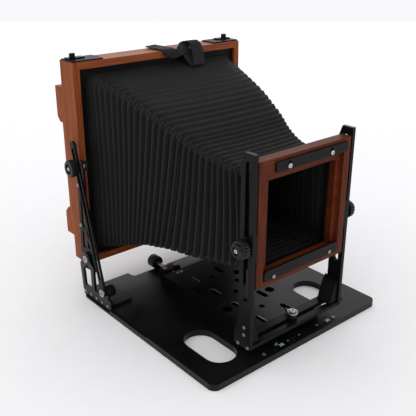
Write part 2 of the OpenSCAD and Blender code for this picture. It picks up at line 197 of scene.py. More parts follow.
def wood(name, axis, tones, coat):
    """lacquered wood, its grain along axis 0, 1 or 2, in a dark, a middle and a light tone"""
    dark, mid, light = tones
    m = Mat(name)

    def grain(across, along):
        return tuple(along if i == axis else across for i in range(3))

    broad = m.noise(grain(62.0, 3.2), 5, 0.55, 0.6)
    fine = m.noise(grain(420.0, 14.0), 3, 0.6, 0.2)
    pores = m.noise(grain(900.0, 42.0), 2)
    patches = m.noise(6, 2)
    colour = m.ramp(broad, (0.30, dark), (0.5, mid), (0.72, light))
    colour = m.mix(colour, m.ramp(fine, (0.36, dark), (0.66, light)), 0.52)
    streaks = m.ramp(m.spread(pores, 0.55, 1.0, 0.34, 0.46), (0.0, grey(0)), (1.0, grey(1)))
    colour = m.mix(colour, streaks, 0.55, "MULTIPLY")
    shade = m.ramp(patches, (0.25, grey(0.86)), (0.75, grey(1.1)))
    m.linked(Base_Color=m.mix(colour, shade, 0.8, "MULTIPLY"), Roughness=m.spread(fine, 0.38, 0.52))
    m.const(Specular_IOR_Level=0.06, Coat_Weight=coat, Coat_Roughness=0.2)
    m.bump(m.blend_of(pores, 0.6, broad, 0.4), 0.25, 0.0003)
    return m.made


def metal_black(name, base, rough, specular, grain=900.0):
    """black anodised metal or paint over a fine grain"""
    tint = (1, 1, 1.04)
    m = Mat(name)
    fine = m.noise(grain, 3, 0.6)
    broad = m.noise(18, 4, 0.55)
    darker, lighter = (tuple(base * share * t for t in tint) for share in (0.82, 1.25))
    colour = m.ramp(broad, (0.3, darker), (0.7, lighter))
    speckle = m.ramp(fine, (0.40, grey(0.8)), (0.66, grey(1.25)))
    roughness = m.math("ADD", m.spread(broad, *rough, 0.3, 0.7), m.spread(fine, -0.04, 0.04))
    m.linked(Base_Color=m.mix(colour, speckle, 0.6, "MULTIPLY"), Roughness=roughness)
    m.const(Specular_IOR_Level=specular, Metallic=0.0)
    m.bump(fine, 0.12, 0.00012)
    return m.made


def bright(name, colour, rough, metallic=1.0):
    """bare or plated metal"""
    m = Mat(name)
    fine = m.noise(700, 3, 0.6)
    broad = m.noise(60, 3)
    duller = tuple(0.82 * c for c in colour)
    tone = m.ramp(broad, (0.3, duller), (0.7, colour))
    m.linked(Base_Color=tone, Roughness=m.spread(fine, *rough, 0.25, 0.75))
    m.const(Metallic=metallic)
    m.bump(fine, 0.10, 0.00005)
    return m.made


def bellows_cloth(name):
    """woven black cloth, with a painted highlight in paler grey along the tips of the folds, where the
    attribute ridge marks them
    """
    m = Mat(name)
    across, along, up = (m.waves(d, 330.0, m.coords["Object"], 0.6, 1.0) for d in "XYZ")
    weave = m.math("ADD", m.math("ADD", across, along), up)
    broad = m.noise(22, 4, 0.6)
    fine = m.noise(260, 3, 0.6)
    ridge = m.node("ShaderNodeAttribute", attribute_name="ridge").outputs["Fac"]
    colour = m.ramp(broad, (0.3, (0.0052, 0.0052, 0.0056)), (0.7, (0.0080, 0.0080, 0.0086)))
    colour = m.mix(colour, m.ramp(fine, (0.35, grey(0.78)), (0.65, grey(1.2))), 0.8, "MULTIPLY")
    # painted highlight: the fold tips that the attribute ridge marks are mixed towards a paler grey
    colour = m.mix(colour, (0.026, 0.026, 0.028), m.math("MULTIPLY", m.spread(ridge, 0.0, 1.0), 0.60))
    m.linked(Base_Color=colour, Roughness=m.spread(broad, 0.62, 0.78, 0.3, 0.7))
    m.const(Specular_IOR_Level=0.14, Sheen_Weight=0.03, Sheen_Roughness=0.5)
    m.bump(m.blend_of(weave, 0.33, fine, 0.5), 0.22, 0.0003)
    return m.made


def webbing(name):
    """twilled strap webbing; U runs along the strap and V across it"""
    m = Mat(name)
    twill = m.waves("DIAGONAL", 1.0, m.mapped((9.0, 3.0, 1), source=m.coords["UV"]))
    ribs = m.waves("X", 1.0, m.mapped((5.0, 5.0, 1), (0, 0, 0.5), m.coords["UV"]))
    fuzz = m.noise(700, 3, 0.6)
    weave = m.math("MULTIPLY", twill, ribs)
    threads = m.blend_of(weave, 0.6, fuzz, 0.4)
    colour = m.ramp(threads, (0.2, (0.008, 0.008, 0.009)), (0.8, (0.026, 0.027, 0.030)))
    m.linked(Base_Color=colour, Roughness=m.spread(fuzz, 0.6, 0.85))
    m.const(Specular_IOR_Level=0.2, Sheen_Weight=0.08, Sheen_Roughness=0.4)
    m.bump(weave, 0.5, 0.0004)
    return m.made


def ground(name):
    """glass ground matt on one face"""
    m = Mat(name)
    fine = m.noise(2600, 2, 0.6)
    broad = m.noise(14, 3)
    colour = m.ramp(broad, (0.3, (0.80, 0.83, 0.83)), (0.7, (0.90, 0.92, 0.92)))
    m.linked(Base_Color=colour, Roughness=m.spread(fine, 0.38, 0.62))
    m.const(Transmission_Weight=0.75, IOR=1.5)
    m.bump(fine, 0.2, 0.00005)
    return m.made


def vial_liquid(name):
    m = Mat(name)
    fine = m.noise(300, 3, 0.6)
    colour = m.ramp(fine, (0.3, (0.05, 0.34, 0.10)), (0.7, (0.10, 0.50, 0.16)))
    m.linked(Base_Color=colour, Roughness=m.spread(fine, 0.05, 0.16))
    m.const(Transmission_Weight=0.35, IOR=1.4)
    return m.made


def paint_white(name):
    m = Mat(name)
    fine = m.noise(900, 3, 0.6)
    colour = m.ramp(fine, (0.3, grey(0.66)), (0.7, grey(0.85)))
    m.linked(Base_Color=colour, Roughness=m.spread(fine, 0.5, 0.7))
    return m.made


def floor_paper(name):
    m = Mat(name)
    colour = m.ramp(m.noise(40, 3), (0.3, (0.905, 0.905, 0.915)), (0.7, (0.920, 0.920, 0.930)))
    m.linked(Base_Color=colour)
    m.const(Roughness=0.9, Specular_IOR_Level=0.05)
    return m.made


REAR_TONES = ((0.150, 0.031, 0.0085), (0.258, 0.060, 0.0165), (0.350, 0.096, 0.029))
LENS_TONES = ((0.050, 0.0078, 0.0022), (0.098, 0.0178, 0.0052), (0.150, 0.033, 0.0100))
REAR_RAIL = wood("rear_wood_x", 0, REAR_TONES, 0.13)
REAR_STILE = wood("rear_wood_z", 2, REAR_TONES, 0.03)
LENS_RAIL = wood("lens_wood_x", 0, LENS_TONES, 0.045)
LENS_STILE = wood("lens_wood_z", 2, LENS_TONES, 0.045)
ANODISED = metal_black("anodised", 0.0036, (0.36, 0.48), 0.09)
ARM_BLACK = metal_black("anodised_arm", 0.0040, (0.28, 0.40), 0.11)
DECK_BLACK = metal_black("anodised_deck", 0.0042, (0.26, 0.38), 0.20, 700.0)
KNOB_BLACK = metal_black("knob_black", 0.0045, (0.20, 0.32), 0.26)
STEEL = bright("steel", (0.42, 0.42, 0.43), (0.22, 0.40))
CHROME = bright("chrome", (0.58, 0.58, 0.60), (0.08, 0.2))
RING_METAL = bright("ring", (0.34, 0.34, 0.35), (0.12, 0.24))
# bare metal of the slot rims; its pale colour also serves as a painted glint along their edges
RIM_METAL_AND_GLINT = bright("slot_rim_metal_and_glint", (0.60, 0.60, 0.62), (0.2, 0.32), metallic=0.8)
BRASS = bright("brass", (0.72, 0.52, 0.22), (0.22, 0.38))
SPRING_STEEL = bright("spring_steel", (0.6, 0.6, 0.62), (0.28, 0.45))
CLOTH = bellows_cloth("bellows_cloth")
WEBBING = webbing("strap_web")
GROUND_GLASS = ground("ground_glass")
LIQUID = vial_liquid("level_liquid")
WHITE = paint_white("scale_white")


# ---------------------------------------------------------------- mesh helpers
def placed(name, data):
    o = bpy.data.objects.new(name, data)
    bpy.context.scene.collection.objects.link(o)
    return o


def piece(name, bm, materials, body=None, replaces=(), smooth=35):
    """turns bm into an object that rides on body and stands for the CAD nodes in replaces"""
    mesh = bpy.data.meshes.new(name)
    bmesh.ops.recalc_face_normals(bm, faces=bm.faces)
    bm.to_mesh(mesh)
    bm.free()
    o = placed(name, mesh)
    for material in materials:
        mesh.materials.append(material)
    mesh.shade_smooth()
    mesh.set_sharp_from_angle(angle=math.radians(smooth))
    if body:
        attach(o, body)
    if replaces:
        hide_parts(*replaces)
    return o


def bevelled(o, width, segments):
    bevel = o.modifiers.new("edge", "BEVEL")
    bevel.width = width * MM
    bevel.segments = segments
    bevel.limit_method = "ANGLE"
    bevel.angle_limit = math.radians(32)
    bevel.use_clamp_overlap = True
    normals = o.modifiers.new("normals", "WEIGHTED_NORMAL")
    normals.keep_sharp = False
    normals.weight = 80
    o.data.shade_smooth()
    for e in o.data.edges:
        e.use_edge_sharp = False
    return o


def cad_mesh(node):
    """a copy of a CAD node's mesh, with its flat faces made whole"""
    bm = bmesh.new()
    bm.from_mesh(frame["nodes"][node].data)
    bmesh.ops.remove_doubles(bm, verts=bm.verts, dist=4e-6)
    bmesh.ops.dissolve_limit(bm, angle_limit=math.radians(0.8), verts=bm.verts, edges=bm.edges)
    return bm


def body_of(node):
    return frame["nodes"][node]["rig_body"]


def refine(node, material, width=0.5, segments=2):
    """a detailed copy of a CAD piece with softened edges"""
    o = piece(node + "_fine", cad_mesh(node), [material], body_of(node), (node,))
    return bevelled(o, width, segments)


def refine_wood(node, stile, rail, joint_x, width, segments):
    """a wood frame: stiles beyond |x| = joint_x take upright grain, rails between them level grain"""
    bm = cad_mesh(node)
    for s in SIDES:
        joint = (s * joint_x * MM, 0, 0)
        parts = list(bm.verts) + list(bm.edges) + list(bm.faces)
        bmesh.ops.bisect_plane(bm, geom=parts, plane_co=joint, plane_no=(1, 0, 0), dist=1e-6)
    for f in bm.faces:
        f.material_index = 0 if abs(f.calc_center_median().x) > joint_x * MM else 1
    o = piece(node + "_fine", bm, [stile, rail], body_of(node), (node,))
    return bevelled(o, width, segments)


def axes_for(axis):
    """the axis as a unit vector, and two directions square to it"""
    a = Vector(axis).normalized()
    u = Vector((0, 1, 0)) if abs(a.x) > 0.9 else Vector((1, 0, 0))
    return a, u, a.cross(u)


def lathe(bm, origin, axis, profile, segments=64, shape=None):
    """turns profile, a list of (radius, height) along axis from origin; shape changes the radius by angle"""
    a, u, w = axes_for(axis)
    origin = Vector(origin)
    rings = []
    for r, h in profile:
        count = segments if r > 0 else 1
        ring = []
        for i in range(count):
            t = 2 * PI * i / segments
            radius = shape(t, r, h) if shape and r > 0 else r
            ring.append(bm.verts.new((origin + a * h + (u * math.cos(t) + w * math.sin(t)) * radius) * MM))
        rings.append(ring)
    for p, q in zip(rings, rings[1:]):
        for i in range(segments):
            j = (i + 1) % segments
            corners = (p[i % len(p)], p[j % len(p)], q[j % len(q)], q[i % len(q)])
            corners = tuple(dict.fromkeys(corners))
            if len(corners) > 2:
                bm.faces.new(corners)


def flutes(count, depth, sharpness, start, end):
    """radius of a fluted rim between the heights start and end"""
    def radius(angle, r, h):
        if not start <= h <= end:
            return r
        return r - depth * (1.0 - abs(math.cos(count * angle / 2.0)) ** (1.0 / sharpness))
    return radius


def hexagon(angle, r, _height):
    sixth = PI / 3
    return r * math.cos(sixth / 2) / math.cos((angle + sixth / 2) % sixth - sixth / 2)


def screw(bm, seat, axis, head, segments=36, below=0.0):
    """a rounded head with a six-sided recess; head is (radius, height, socket radius)"""
    r, h, socket = head
    a, u, w = axes_for(axis)
    seat = Vector(seat)
    round_part = [(r, -below), (r, h * 0.55), (r * 0.965, h * 0.80), (r * 0.88, h * 0.96), (r * 0.80, h)]
    mouth = [(socket * 1.16, h)]
    recess = [(socket * 1.02, h * 0.93), (socket, h * 0.35)]
    rings = []
    for radius, height in round_part + mouth + recess:
        ring = []
        for i in range(segments):
            t = 2 * PI * i / segments
            k = hexagon(t, radius, height) if (radius, height) in recess else radius
            ring.append(bm.verts.new((seat + a * height + (u * math.cos(t) + w * math.sin(t)) * k) * MM))
        rings.append(ring)
    for p, q in zip(rings, rings[1:]):
        for i in range(segments):
            j = (i + 1) % segments
            bm.faces.new((p[i], p[j], q[j], q[i]))
    for ring, height in ((rings[0], -below), (rings[-1], h * 0.35)):
        centre = bm.verts.new((seat + a * height) * MM)
        for i in range(segments):
            bm.faces.new((ring[i], ring[(i + 1) % segments], centre))


def pin(bm, start, axis, length, radius):
    lathe(bm, start, axis, [(0, 0), (radius, 0), (radius, length), (0, length)], 32)


def stitch(bm, rows, closed=False):
    """faces between neighbouring rows, each row a closed loop of vertices"""
    for p, q in zip(rows, rows[1:] + (rows[:1] if closed else [])):
        for i in range(len(p)):
            j = (i + 1) % len(p)
            bm.faces.new((p[i], p[j], q[j], q[i]))


# ---------------------------------------------------------------- camera, light and floor
def camera():
    lens = bpy.data.cameras.new("camera")
    lens.sensor_width = 36.0
    lens.lens = 57.57
    lens.clip_start = 0.01
    lens.clip_end = 120.0
    turn, height, roll = (math.radians(a) for a in (-40.31, 22.95, -0.08))
    level = math.cos(height)
    ahead = Vector((-math.sin(turn) * level, math.cos(turn) * level, -math.sin(height)))
    flat_right = Vector((math.cos(turn), math.sin(turn), 0))
    flat_up = flat_right.cross(ahead)
    right = flat_right * math.cos(roll) - flat_up * math.sin(roll)
    up = flat_right * math.sin(roll) + flat_up * math.cos(roll)
    o = placed("camera", lens)
    spot_m = Vector((-0.6450, -0.7099, 0.5714))
    o.matrix_world = Matrix([(right[i], up[i], -ahead[i], spot_m[i]) for i in range(3)] + [(0, 0, 0, 1)])
    bpy.context.scene.camera = o


def aimed(o, direction):
    o.rotation_mode = "QUATERNION"
    o.rotation_quaternion = Vector(direction).to_track_quat("-Z", "Y")


def studio():
    """a pale room, a wide soft ceiling and a softbox behind the object; lengths in metres"""
    world = bpy.data.worlds.new("studio")
    bpy.context.scene.world = world
    world.use_nodes = True
    room = world.node_tree.nodes["Background"].inputs
    room["Color"].default_value = (0.985, 0.985, 1.0, 1)
    room["Strength"].default_value = 0.70
    sun = bpy.data.lights.new("ceiling", "SUN")
    sun.energy = 1.15
    sun.angle = math.radians(110)
    ceiling = placed("ceiling", sun)
    ceiling.visible_glossy = False
    aimed(ceiling, (0.25, 0.10, -1.0))
    panel = bpy.data.lights.new("back_softbox", "AREA")
    panel.energy = 11.0
    panel.shape = "RECTANGLE"
    panel.size = 3.2
    panel.size_y = 1.3
    softbox = placed("back_softbox", panel)
    softbox.location = (2.1, 2.5, 1.15)
    aimed(softbox, Vector((0.0, 0.0, 0.25)) - softbox.location)
    softbox.visible_camera = False
    bpy.context.scene.view_settings.view_transform = "Standard"
    bpy.context.scene.view_settings.look = "None"


def floor():
    half_m, below_m, cells = 30, 0.0004, 24
    bm = bmesh.new()
    steps = [half_m * (2 * i / cells - 1) for i in range(cells + 1)]
    grid = [[bm.verts.new((x, y, -below_m)) for y in steps] for x in steps]
    for i in range(cells):
        for j in range(cells):
            bm.faces.new((grid[i][j], grid[i + 1][j], grid[i + 1][j + 1], grid[i][j + 1]))
    piece("floor", bm, [floor_paper("floor_paper")])


camera()
studio()
floor()

# ---------------------------------------------------------------- base
refine("base_plate", DECK_BLACK, 0.9, 3)
refine("tripod_plate", SPRING_STEEL, 0.4)
refine("rails", ANODISED, 0.4)
for _, side in NAMED_SIDES:
    refine("bracket_" + side, DECK_BLACK, 0.45)
refine("scale_bar", KNOB_BLACK, 0.35)
refine("level_case", ANODISED, 0.5, 3)
refine("screw_bearing", ARM_BLACK, 0.6, 3)

BASE_HALF_LENGTH, BASE_TOP = nbox("base_plate")[1][1:]
REAR_FACE = nbox("rear_frame")[0][1]
BRACKET_X = nbox("bracket_right")[1][0]
BRACKET_SCREWS = 5
BRACKET_SCREW_PITCH = 16.6
BRACKET_SCREW_FROM_END = 73
STRIP_SCREW_X = (-72, 79)
STRIP_SCREW_FROM_EDGE = 10
BEARING_SCREW_X = (-41, -19)
BEARING_IN_FRONT = 45      # distance of the bearing's screws from the rear frame's face
BEARING_HEIGHT = 15
BRACKET_HEAD = (2.5, 1.3, 1.2)   # heads are (radius, height, socket radius)
STRIP_HEAD = (2.9, 1.4, 1.4)
BEARING_HEAD = (3.6, 2.2, 1.6)


def base_screws():
    bm = bmesh.new()
    for s in SIDES:
        for i in range(BRACKET_SCREWS):
            y = BASE_HALF_LENGTH - BRACKET_SCREW_FROM_END + i * BRACKET_SCREW_PITCH
            screw(bm, (s * BRACKET_X, y, BASE_TOP + 0.5), (s, 0, 0), BRACKET_HEAD)
    for x in STRIP_SCREW_X:
        screw(bm, (x, STRIP_SCREW_FROM_EDGE - BASE_HALF_LENGTH, BASE_TOP), UP, STRIP_HEAD)
    for x in BEARING_SCREW_X:
        screw(bm, (x, REAR_FACE - BEARING_IN_FRONT, BASE_TOP + BEARING_HEIGHT), UP, BEARING_HEAD)
    piece("base_screws_fine", bm, [STEEL], "base", ("base_screws",))


base_screws()

# the strip on the front edge: small screws, and a figure at each end
STRIP_FRONT = nbox("scale_bar")[0][1]
STRIP_TOP = nbox("scale_bar")[1][2]
SMALL_SCREW_X = (-21, 3, 43)
SMALL_HEAD = (2.0, 0.9, 0.9)
FIGURE_HEIGHT = 8.5
FIGURE_X = {"left": -36, "right": 66}
FIGURE_INSET = 5
PAINT_THICK = 0.05
PAINT_GAP = 0.06


def figure(name, text, x):
    """raised white figures, generic numbers on the strip"""
    font = bpy.data.curves.new(name, "FONT")
    font.body = text
    font.size = FIGURE_HEIGHT * MM
    font.align_x = "CENTER"
    font.align_y = "CENTER"
    font.extrude = PAINT_THICK * MM
    font.resolution_u = 3
    typed = placed(name + "_typed", font)
    bpy.context.view_layer.update()
    mesh = bpy.data.meshes.new_from_object(typed.evaluated_get(bpy.context.evaluated_depsgraph_get()))
    bpy.data.objects.remove(typed)
    mesh.materials.clear()
    mesh.materials.append(WHITE)
    spot = Vector((x, STRIP_FRONT + FIGURE_INSET, STRIP_TOP + PAINT_GAP))
    mesh.transform(Matrix.Translation(spot * MM))
    o = placed(name, mesh)
    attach(o, "base")


def strip_details():
    bm = bmesh.new()
    for x in SMALL_SCREW_X:
        screw(bm, (x, STRIP_FRONT + 7.2, STRIP_TOP), UP, SMALL_HEAD)
    piece("scale_small_screws", bm, [STEEL], "base")
    for side, x in FIGURE_X.items():
        figure("scale_figure_" + side, "30", x)


strip_details()


def level_vial():
    """a glass tube with rounded ends, along Y"""
    lo, hi = nbox("level_vial")
    x, _, z = middle("level_vial")
    r = (hi[0] - lo[0]) / 2
    length = hi[1] - lo[1]
    front_end = [(0, 0), (r * 0.7, 0.1), (r * 0.97, 0.7), (r, 1.6)]
    back_end = [(r, length - 1.6), (r * 0.97, length - 0.7), (0, length)]
    bm = bmesh.new()
    lathe(bm, (x, lo[1], z), (0, 1, 0), front_end + back_end, 40)
    piece("level_vial_fine", bm, [LIQUID], "base", ("level_vial",))


level_vial()

# pivots of the struts and of the rear standard, on both side brackets
PIVOT_PIN = 3.9
STRUT_PIVOT_HEAD = (6.5, 3.0, 2.4)
STRUT_PIN_START = 168     # |x| at which each pin starts
TILT_PIVOT_HEAD = (6.5, 2.5, 2.4)
TILT_PIN_START = 165.1


def side_pivots(node, inner_x, head, below):
    """a pin and a screw head on each side, where the CAD node stands"""
    _, y, z = middle(node)
    seat_x = nbox(node)[1][0] - head[1]
    bm = bmesh.new()
    for s in SIDES:
        screw(bm, (s * seat_x, y, z), (s, 0, 0), head, 48, below)
        pin(bm, (s * inner_x, y, z), (s, 0, 0), seat_x - inner_x, PIVOT_PIN)
    piece(node + "_fine", bm, [STEEL], "base", (node,))


side_pivots("strut_pivots", STRUT_PIN_START, STRUT_PIVOT_HEAD, 0.1)
side_pivots("tilt_pivots", TILT_PIN_START, TILT_PIVOT_HEAD, 0.05)


# ---------------------------------------------------------------- hand knobs
def knob(node, outward, centre, radius, ribs, flute, cap, neck=None, hub=None):
    """a fluted knob on the X axis; neck is (radius, length), hub the radius of the raised middle"""
    lo, hi = nbox(node)
    inner, outer = (lo[0], hi[0]) if outward > 0 else (hi[0], lo[0])
    length = hi[0] - lo[0]
    start = neck[1] if neck else 0
    rim_end = length - (5.0 if hub else 0.0)
    if neck:
        profile = [(0, 0), (neck[0] * 0.93, 0), (neck[0], 0.5), (neck[0], start)]
        profile += [(radius * 0.86, start), (radius * 0.965, start + 0.7)]
    else:
        profile = [(0, 0), (radius * 0.90, 0), (radius * 0.97, 0.6)]
    profile += [(radius, start + 1.8), (radius, rim_end - 2.2)]
    profile += [(radius * 0.985, rim_end - 1.2), (radius * 0.94, rim_end - 0.35)]
    top = hub or radius * 0.88
    if hub:
        profile += [(hub * 1.12, rim_end), (hub, rim_end + 0.8), (hub, length - 0.9)]
    profile += [(top * 0.97, length - 0.3), (top * 0.9, length), (top * 0.72, length)]
    profile += [(top * 0.68, length - 0.5), (top * 0.66, length - 2.2), (0, length - 2.2)]
    axis = (outward, 0, 0)
    fluted = flutes(ribs, flute, 1.6, start + 1.0, rim_end - 0.2)
    bm = bmesh.new()
    lathe(bm, (inner, *centre), axis, profile, ribs * 10, fluted)
    piece(node + "_fine", bm, [KNOB_BLACK], node, (node,))
    bm = bmesh.new()
    screw(bm, (outer - outward * 2.2, *centre), axis, (cap, 2.6, cap * 0.5), 42)
    piece(node + "_fine_bolt", bm, [CHROME], node)


STRUT_FOOT = middle("strut_pivots")[1:]
for s, side in NAMED_SIDES:
    pivot, clamp, rise = (kind + "_knob_" + side for kind in ("pivot", "clamp", "rise"))
    knob(pivot, -s, STRUT_FOOT, radius=9.5, ribs=20, flute=0.9, cap=2.6)
    knob(clamp, s, middle(clamp)[1:], radius=13.5, ribs=20, flute=1.5, cap=3.0, neck=(8, 2.9))
    knob(rise, s, middle(rise)[1:], radius=14.0, ribs=18, flute=1.6, cap=3.2, neck=(9, 4.9), hub=9.5)

# ---------------------------------------------------------------- focusing bed
refine("bed_plate", DECK_BLACK)
refine("drive_nut", BRASS, 0.4)
BED_TOP = nbox("bed_plate")[1][2]
NUT_SCREW_X = (-34, -26)
NUT_HEAD = (2.8, 1.4, 1.2)
SLOT_SIZE = (9, 24)
SLOT_X = -27
SLOT_Y = (53, 0, -53, -106)


def bed_screws():
    bm = bmesh.new()
    for x in NUT_SCREW_X:
        screw(bm, (x, middle("bed_screws")[1], BED_TOP), UP, NUT_HEAD)
    piece("bed_screws_fine", bm, [STEEL], "bed", ("bed_screws",))


def stadium(x, y, width, length, steps=14):
    """points and outward directions round a slot with round ends, along Y"""
    r = width / 2
    found = []
    for end, first_angle in ((1, 0), (-1, PI)):
        end_y = y + end * (length - width) / 2
        for step in range(steps + 1):
            nx = math.cos(first_angle + PI * step / steps)
            ny = math.sin(first_angle + PI * step / steps)
            found.append((x + r * nx, end_y + r * ny, nx, ny))
    return found


def slot_edge(bm, x, y, top, depth=1.1):
    """the cut edge of a slot in bright metal, just under the top face; it is widest on its +x side, as a
    painted glint there
    """
    rows = []
    for px, py, nx, ny in stadium(x, y, *SLOT_SIZE):
        # the bright band is widened on the +x side as a painted glint
        bare = 0.05 + 0.80 * max(0.0, nx) ** 3
        lip = [(0.45, top - 0.02), (0.12, top - 0.05), (-bare, top - 0.05 - bare)]
        wall = [(-bare, top - depth), (0.3, top - depth), (0.3, top - 0.3)]
        rows.append([bm.verts.new(Vector((px + nx * out, py + ny * out, z)) * MM) for out, z in lip + wall])
    stitch(bm, rows, closed=True)


def slot_edges():
    bm = bmesh.new()
    for y in SLOT_Y:
        slot_edge(bm, SLOT_X, y, BED_TOP)
    piece("bed_slot_rims", bm, [RIM_METAL_AND_GLINT], "bed")


bed_screws()
slot_edges()


# focusing screw with its thread and collar, placed from the rear frame's face, and its knob
THREAD_END_IN_FRONT = 46
COLLAR_IN_FRONT = 36


def focus_screw():
    start, end = nbox("focus_screw")[0][1], nbox("focus_screw")[1][1]
    x, _, z = middle("focus_knob")
    crest, root, pitch = 2.95, 2.45, 1.5
    profile = [(0, 0), (2.6, 0), (crest, 0.5)]
    thread_end = REAR_FACE - THREAD_END_IN_FRONT - start
    h = 1.0
    while h < thread_end - 1:
        profile += [(crest, h), (root, h + 0.6), (crest, h + 1.2)]
        h += pitch
    collar = REAR_FACE - COLLAR_IN_FRONT - start
    profile += [(crest, thread_end), (crest, collar), (5.4, collar + 0.05), (5.5, collar + 0.6)]
    profile += [(5.5, collar + 5.4), (5.3, collar + 6), (2.98, collar + 6.05)]
    profile += [(2.98, end - start), (0, end - start)]
    bm = bmesh.new()
    lathe(bm, (x, start, z), (0, 1, 0), profile, 40)
    piece("focus_screw_fine", bm, [STEEL], "focus_drive", ("focus_screw",))


def focus_knob():
    lo, hi = nbox("focus_knob")
    x, _, z = middle("focus_knob")
    r, bore, socket = 11.5, 3.0, 4.2
    length = hi[1] - lo[1]
    profile = [(bore, 0), (r * 0.86, 0), (r * 0.955, 0.5), (r, 1.6), (r, length - 1.8)]
    profile += [(r * 0.96, length - 0.6), (r * 0.88, length)]
    profile += [(4.6, length), (socket, length - 0.6), (socket, length - 2.0)]
    profile += [(bore, length - 2.0), (bore, 0)]
    bm = bmesh.new()
    lathe(bm, (x, lo[1], z), (0, 1, 0), profile, 240, flutes(24, 1.1, 1.6, 1.0, length - 1.0))
    piece("focus_knob_fine", bm, [KNOB_BLACK], "focus_drive", ("focus_knob",))
    bm = bmesh.new()
    screw(bm, (x, hi[1] - 2.0, z), (0, 1, 0), (3.6, 1.6, 1.6))
    piece("focus_knob_bolt", bm, [CHROME], "focus_drive")


focus_screw()
focus_knob()

# ---------------------------------------------------------------- front standard
refine("front_bottom_plate", ARM_BLACK, 0.6)
for _, side in NAMED_SIDES:
    refine("front_arm_" + side, ARM_BLACK, 0.55)
refine("gussets", ANODISED)
refine("rise_slides", ANODISED)
refine("rise_bolts", STEEL, 0.2)
FRONT_ARM_X = nbox("front_arm_right")[1][0]
FRONT_SCREW_SPOTS = ((-151, 3), (-132, 3), (-143, 21), (-143, 33))   # y, and height over the bed
FRONT_HEAD = (2.7, 1.3, 1.3)


def front_screws():
    bm = bmesh.new()
    for s in SIDES:
        for y, over in FRONT_SCREW_SPOTS:
            screw(bm, (s * FRONT_ARM_X, y, BED_TOP + over), (s, 0, 0), FRONT_HEAD)
    piece("front_screws_fine", bm, [STEEL], "front_standard", ("front_screws",))


# shift clamp: bolt, knob with lever, bright ring
CLAMP_X, CLAMP_Y, _ = middle("clamp_bolt")
CLAMP_BORE = 3.6
LEVER_ANGLE = math.radians(70)
LEVER_STATIONS = (   # distance from the axis, half width, and the lower and upper height
    (5.5, 2.5, 2.2, 5.6),
    (10, 2.3, 2.2, 5.6),
    (17, 2.5, 2.6, 5.8),
    (20.2, 2.5, 3.0, 5.8),
    (21.8, 1.4, 3.4, 5.4),
)


def clamp_bolt():
    foot = nbox("clamp_bolt")[0][2]
    top = nbox("lock_ring")[1][2]
    length = top - foot
    profile = [(0, 0), (6.7, 0), (7, 0.4), (7, 3.0), (6.7, 3.4), (3.45, 3.4)]
    profile += [(3.45, length - 0.4), (3.2, length), (0, length)]
    bm = bmesh.new()
    lathe(bm, (CLAMP_X, CLAMP_Y, foot), UP, profile, 48)
    screw(bm, (CLAMP_X, CLAMP_Y, top + 0.02), UP, (4.9, 1.9, 2.2), 48)
    piece("clamp_bolt_fine", bm, [CHROME], "front_pivot", ("clamp_bolt",))


def rounded(v):
    """squares a sine or cosine up, for a section with blunt corners"""
    return math.copysign(math.sqrt(abs(v)), v)


def lever(bm, base_z):
    along = Vector((math.cos(LEVER_ANGLE), math.sin(LEVER_ANGLE), 0))
    across = Vector((-along.y, along.x, 0))
    rows = []
    for reach, half_width, low, high in LEVER_STATIONS:
        middle_of_bar = Vector((CLAMP_X, CLAMP_Y, base_z + (low + high) / 2)) + along * reach
        row = []
        for k in range(16):
            t = 2 * PI * k / 16
            lift = Vector((0, 0, rounded(math.sin(t)) * (high - low) / 2))
            row.append(bm.verts.new((middle_of_bar + across * rounded(math.cos(t)) * half_width + lift) * MM))
        rows.append(row)
    stitch(bm, rows)
    bm.faces.new(rows[0])
    bm.faces.new(rows[-1])


def lock_knob():
    foot = nbox("lock_knob")[0][2]
    h = nbox("lock_ring")[0][2] - foot
    profile = [(CLAMP_BORE, 0), (6.9, 0), (7.4, 0.5), (7.4, h * 0.45), (6.9, h * 0.5), (7.4, h * 0.55)]
    profile += [(7.4, h - 0.5), (7.0, h), (CLAMP_BORE, h), (CLAMP_BORE, 0)]
    bm = bmesh.new()
    lathe(bm, (CLAMP_X, CLAMP_Y, foot), UP, profile, 160, flutes(16, 0.5, 1.5, 0.2, h - 0.3))
    lever(bm, foot - 0.1)
    piece("lock_knob_fine", bm, [KNOB_BLACK], "lock_knob", ("lock_knob",))


def lock_ring():
    lo, hi = nbox("lock_ring")
    h = hi[2] - lo[2]
    profile = [(CLAMP_BORE, 0), (8.1, 0), (8.6, 0.4), (8.6, h - 0.6), (8.3, h - 0.15), (7.7, h), (6.6, h)]
    profile += [(6.3, h - 0.5), (CLAMP_BORE, h - 0.6), (CLAMP_BORE, 0)]
    bm = bmesh.new()
    lathe(bm, (CLAMP_X, CLAMP_Y, lo[2]), UP, profile, 180, flutes(36, 0.35, 1.2, 0.2, h - 0.3))
    piece("lock_ring_fine", bm, [RING_METAL], "lock_knob", ("lock_ring",))


front_screws()
clamp_bolt()
lock_knob()
lock_ring()

# ---------------------------------------------------------------- lens frame
LENS_JOINT_X = 76.5
refine_wood("lens_frame", LENS_STILE, LENS_RAIL, LENS_JOINT_X, 0.9, 3)
refine("board_rest", ARM_BLACK)
refine("board_lock", ARM_BLACK, 0.45)
refine("front_bellows_frame", ANODISED, 0.4)
LENS_FACE = nbox("lens_frame")[0][1]
REST_THICK = 2
LOCK_THICK = 3.05
LOCK_SCREW_X = (-38, 46)
LOCK_SCREW_SHANK = 2.0
REST_HEAD = (2.7, 1.2, 1.3)
LOCK_HEAD = (3.5, 1.7, 1.5)


